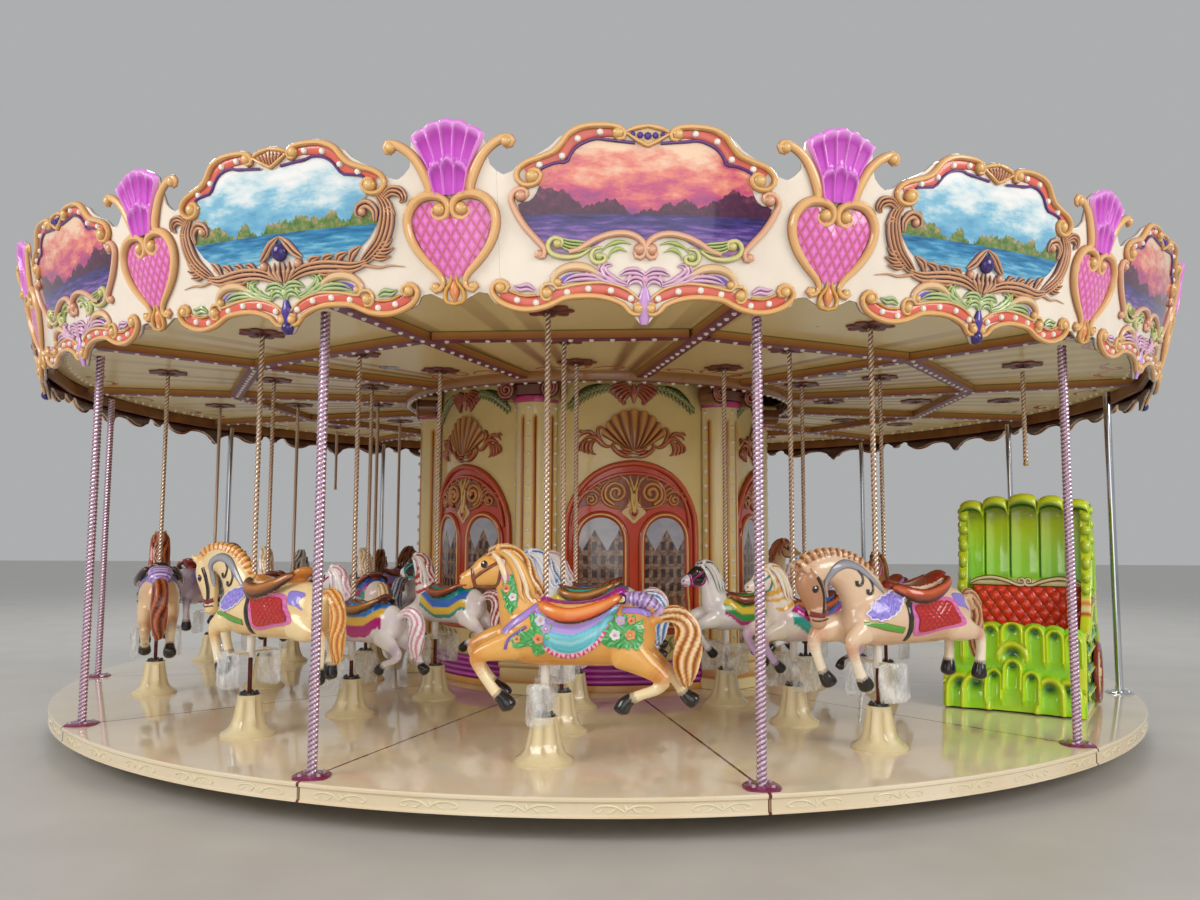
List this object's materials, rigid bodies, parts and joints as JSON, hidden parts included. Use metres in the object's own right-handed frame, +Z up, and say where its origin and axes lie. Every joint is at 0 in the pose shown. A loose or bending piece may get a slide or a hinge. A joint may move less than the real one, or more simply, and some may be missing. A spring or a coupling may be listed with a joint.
{
  "type": "fairground carousel",
  "caption": "Round fairground carousel: a turning platform with galloping horses on twisted poles, a chariot, a painted drum and a leaning ornamental crown.",
  "frame": {"origin": "on the ground, on the axis of turning", "axes": "+Z up along the axis of turning, -Y towards the viewer at the front, +X to the viewer's right"},
  "size_m": [9.9392, 9.9392, 4.4253],
  "materials": {
    "base_steel": "matt dark grey paint",
    "deck_paint": "gloss cream paint",
    "purple_tube": "metallic purple with silver ridges",
    "chrome_tube": "bright chrome",
    "drum_paint": "gloss cream paint with gold and red ornament",
    "ring_paint": "ochre paint",
    "ceiling_paint": "gloss cream paint",
    "fascia_paint": "gloss cream paint with gold ornament",
    "roof_paint": "cream paint",
    "palomino_horse": "gloss painted",
    "pale_horse": "gloss painted",
    "white_horse": "gloss painted",
    "pole_brass": "polished, twisted",
    "lime_paint": "gloss painted",
    "bench_paint": "gloss cream paint",
    "red_quilt": "diamond tufted, gloss",
    "red_paint": "gloss painted"
  },
  "bodies": {
    "base": {"base_frame": "base_steel"},
    "turntable": {"deck_front_right": "deck_paint", "deck_rear_right": "deck_paint", "deck_rear_left": "deck_paint", "deck_front_left": "deck_paint", "pillar_01": "purple_tube", "pillar_02": "purple_tube", "pillar_03": "chrome_tube", "pillar_04": "chrome_tube", "pillar_05": "chrome_tube", "pillar_06": "chrome_tube", "pillar_07": "chrome_tube", "pillar_08": "chrome_tube", "pillar_09": "chrome_tube", "pillar_10": "purple_tube", "pillar_11": "purple_tube", "pillar_12": "purple_tube", "drum_wall": "drum_paint", "drum_columns": "drum_paint", "crown_ring": "ring_paint", "ceiling": "ceiling_paint", "fascia_front_right": "fascia_paint", "fascia_rear_right": "fascia_paint", "fascia_rear_left": "fascia_paint", "fascia_front_left": "fascia_paint", "roof": "roof_paint", "short_pole_03": "pole_brass", "short_pole_09": "pole_brass", "chariot_shell": "lime_paint", "chariot_bench": "bench_paint", "chariot_backrest": "red_quilt", "chariot_wheel": "red_paint"},
    "outer_horse_01": {"outer_horse_01": "palomino_horse"},
    "outer_horse_02": {"outer_horse_02": "pale_horse"},
    "outer_horse_06": {"outer_horse_06": "palomino_horse"},
    "outer_horse_07": {"outer_horse_07": "palomino_horse"},
    "outer_horse_08": {"outer_horse_08": "pale_horse"},
    "outer_horse_10": {"outer_horse_10": "pale_horse"},
    "outer_horse_11": {"outer_horse_11": "palomino_horse"},
    "outer_horse_12": {"outer_horse_12": "pale_horse"},
    "middle_horse_01": {"middle_horse_01": "white_horse"},
    "middle_horse_02": {"middle_horse_02": "white_horse"},
    "middle_horse_03": {"middle_horse_03": "white_horse"},
    "middle_horse_06": {"middle_horse_06": "white_horse"},
    "middle_horse_07": {"middle_horse_07": "white_horse"},
    "middle_horse_08": {"middle_horse_08": "white_horse"},
    "middle_horse_09": {"middle_horse_09": "white_horse"},
    "middle_horse_10": {"middle_horse_10": "white_horse"},
    "middle_horse_11": {"middle_horse_11": "white_horse"},
    "middle_horse_12": {"middle_horse_12": "white_horse"},
    "inner_horse_01": {"inner_horse_01": "white_horse"},
    "inner_horse_02": {"inner_horse_02": "white_horse"},
    "inner_horse_03": {"inner_horse_03": "white_horse"},
    "inner_horse_06": {"inner_horse_06": "white_horse"},
    "inner_horse_07": {"inner_horse_07": "white_horse"},
    "inner_horse_08": {"inner_horse_08": "white_horse"},
    "inner_horse_09": {"inner_horse_09": "white_horse"},
    "inner_horse_10": {"inner_horse_10": "white_horse"},
    "inner_horse_11": {"inner_horse_11": "white_horse"},
    "inner_horse_12": {"inner_horse_12": "white_horse"}
  },
  "joints": [
    {"name": "platform_turn", "type": "hinge", "parent": "base", "child": "turntable", "pos_m": [0, 0, 0], "axis": [0, 0, 1], "continuous": true},
    {"name": "outer_horse_01_lift", "type": "slide", "parent": "turntable", "child": "outer_horse_01", "axis": [0, 0, 1], "range_m": [-0.1, 0.1]},
    {"name": "outer_horse_02_lift", "type": "slide", "parent": "turntable", "child": "outer_horse_02", "axis": [0, 0, 1], "range_m": [-0.1, 0.1]},
    {"name": "outer_horse_06_lift", "type": "slide", "parent": "turntable", "child": "outer_horse_06", "axis": [0, 0, 1], "range_m": [-0.1, 0.1]},
    {"name": "outer_horse_07_lift", "type": "slide", "parent": "turntable", "child": "outer_horse_07", "axis": [0, 0, 1], "range_m": [-0.1, 0.1]},
    {"name": "outer_horse_08_lift", "type": "slide", "parent": "turntable", "child": "outer_horse_08", "axis": [0, 0, 1], "range_m": [-0.1, 0.1]},
    {"name": "outer_horse_10_lift", "type": "slide", "parent": "turntable", "child": "outer_horse_10", "axis": [0, 0, 1], "range_m": [-0.1, 0.1]},
    {"name": "outer_horse_11_lift", "type": "slide", "parent": "turntable", "child": "outer_horse_11", "axis": [0, 0, 1], "range_m": [-0.1, 0.1]},
    {"name": "outer_horse_12_lift", "type": "slide", "parent": "turntable", "child": "outer_horse_12", "axis": [0, 0, 1], "range_m": [-0.1, 0.1]},
    {"name": "middle_horse_01_lift", "type": "slide", "parent": "turntable", "child": "middle_horse_01", "axis": [0, 0, 1], "range_m": [-0.1, 0.1]},
    {"name": "middle_horse_02_lift", "type": "slide", "parent": "turntable", "child": "middle_horse_02", "axis": [0, 0, 1], "range_m": [-0.1, 0.1]},
    {"name": "middle_horse_03_lift", "type": "slide", "parent": "turntable", "child": "middle_horse_03", "axis": [0, 0, 1], "range_m": [-0.1, 0.1]},
    {"name": "middle_horse_06_lift", "type": "slide", "parent": "turntable", "child": "middle_horse_06", "axis": [0, 0, 1], "range_m": [-0.1, 0.1]},
    {"name": "middle_horse_07_lift", "type": "slide", "parent": "turntable", "child": "middle_horse_07", "axis": [0, 0, 1], "range_m": [-0.1, 0.1]},
    {"name": "middle_horse_08_lift", "type": "slide", "parent": "turntable", "child": "middle_horse_08", "axis": [0, 0, 1], "range_m": [-0.1, 0.1]},
    {"name": "middle_horse_09_lift", "type": "slide", "parent": "turntable", "child": "middle_horse_09", "axis": [0, 0, 1], "range_m": [-0.1, 0.1]},
    {"name": "middle_horse_10_lift", "type": "slide", "parent": "turntable", "child": "middle_horse_10", "axis": [0, 0, 1], "range_m": [-0.1, 0.1]},
    {"name": "middle_horse_11_lift", "type": "slide", "parent": "turntable", "child": "middle_horse_11", "axis": [0, 0, 1], "range_m": [-0.1, 0.1]},
    {"name": "middle_horse_12_lift", "type": "slide", "parent": "turntable", "child": "middle_horse_12", "axis": [0, 0, 1], "range_m": [-0.1, 0.1]},
    {"name": "inner_horse_01_lift", "type": "slide", "parent": "turntable", "child": "inner_horse_01", "axis": [0, 0, 1], "range_m": [-0.1, 0.1]},
    {"name": "inner_horse_02_lift", "type": "slide", "parent": "turntable", "child": "inner_horse_02", "axis": [0, 0, 1], "range_m": [-0.1, 0.1]},
    {"name": "inner_horse_03_lift", "type": "slide", "parent": "turntable", "child": "inner_horse_03", "axis": [0, 0, 1], "range_m": [-0.1, 0.1]},
    {"name": "inner_horse_06_lift", "type": "slide", "parent": "turntable", "child": "inner_horse_06", "axis": [0, 0, 1], "range_m": [-0.1, 0.1]},
    {"name": "inner_horse_07_lift", "type": "slide", "parent": "turntable", "child": "inner_horse_07", "axis": [0, 0, 1], "range_m": [-0.1, 0.1]},
    {"name": "inner_horse_08_lift", "type": "slide", "parent": "turntable", "child": "inner_horse_08", "axis": [0, 0, 1], "range_m": [-0.1, 0.1]},
    {"name": "inner_horse_09_lift", "type": "slide", "parent": "turntable", "child": "inner_horse_09", "axis": [0, 0, 1], "range_m": [-0.1, 0.1]},
    {"name": "inner_horse_10_lift", "type": "slide", "parent": "turntable", "child": "inner_horse_10", "axis": [0, 0, 1], "range_m": [-0.1, 0.1]},
    {"name": "inner_horse_11_lift", "type": "slide", "parent": "turntable", "child": "inner_horse_11", "axis": [0, 0, 1], "range_m": [-0.1, 0.1]},
    {"name": "inner_horse_12_lift", "type": "slide", "parent": "turntable", "child": "inner_horse_12", "axis": [0, 0, 1], "range_m": [-0.1, 0.1]}
  ],
  "couplings": [
    {"joint": "outer_horse_02_lift", "follows": "outer_horse_01_lift", "ratio": -1},
    {"joint": "outer_horse_06_lift", "follows": "outer_horse_01_lift", "ratio": 1},
    {"joint": "outer_horse_07_lift", "follows": "outer_horse_01_lift", "ratio": -1},
    {"joint": "outer_horse_08_lift", "follows": "outer_horse_01_lift", "ratio": 1},
    {"joint": "outer_horse_10_lift", "follows": "outer_horse_01_lift", "ratio": -1},
    {"joint": "outer_horse_11_lift", "follows": "outer_horse_01_lift", "ratio": 1},
    {"joint": "outer_horse_12_lift", "follows": "outer_horse_01_lift", "ratio": -1},
    {"joint": "middle_horse_02_lift", "follows": "middle_horse_01_lift", "ratio": -1},
    {"joint": "middle_horse_03_lift", "follows": "middle_horse_01_lift", "ratio": 1},
    {"joint": "middle_horse_06_lift", "follows": "middle_horse_01_lift", "ratio": -1},
    {"joint": "middle_horse_07_lift", "follows": "middle_horse_01_lift", "ratio": 1},
    {"joint": "middle_horse_08_lift", "follows": "middle_horse_01_lift", "ratio": -1},
    {"joint": "middle_horse_09_lift", "follows": "middle_horse_01_lift", "ratio": 1},
    {"joint": "middle_horse_10_lift", "follows": "middle_horse_01_lift", "ratio": -1},
    {"joint": "middle_horse_11_lift", "follows": "middle_horse_01_lift", "ratio": 1},
    {"joint": "middle_horse_12_lift", "follows": "middle_horse_01_lift", "ratio": -1},
    {"joint": "inner_horse_02_lift", "follows": "inner_horse_01_lift", "ratio": -1},
    {"joint": "inner_horse_03_lift", "follows": "inner_horse_01_lift", "ratio": 1},
    {"joint": "inner_horse_06_lift", "follows": "inner_horse_01_lift", "ratio": -1},
    {"joint": "inner_horse_07_lift", "follows": "inner_horse_01_lift", "ratio": 1},
    {"joint": "inner_horse_08_lift", "follows": "inner_horse_01_lift", "ratio": -1},
    {"joint": "inner_horse_09_lift", "follows": "inner_horse_01_lift", "ratio": 1},
    {"joint": "inner_horse_10_lift", "follows": "inner_horse_01_lift", "ratio": -1},
    {"joint": "inner_horse_11_lift", "follows": "inner_horse_01_lift", "ratio": 1},
    {"joint": "inner_horse_12_lift", "follows": "inner_horse_01_lift", "ratio": -1}
  ]
}
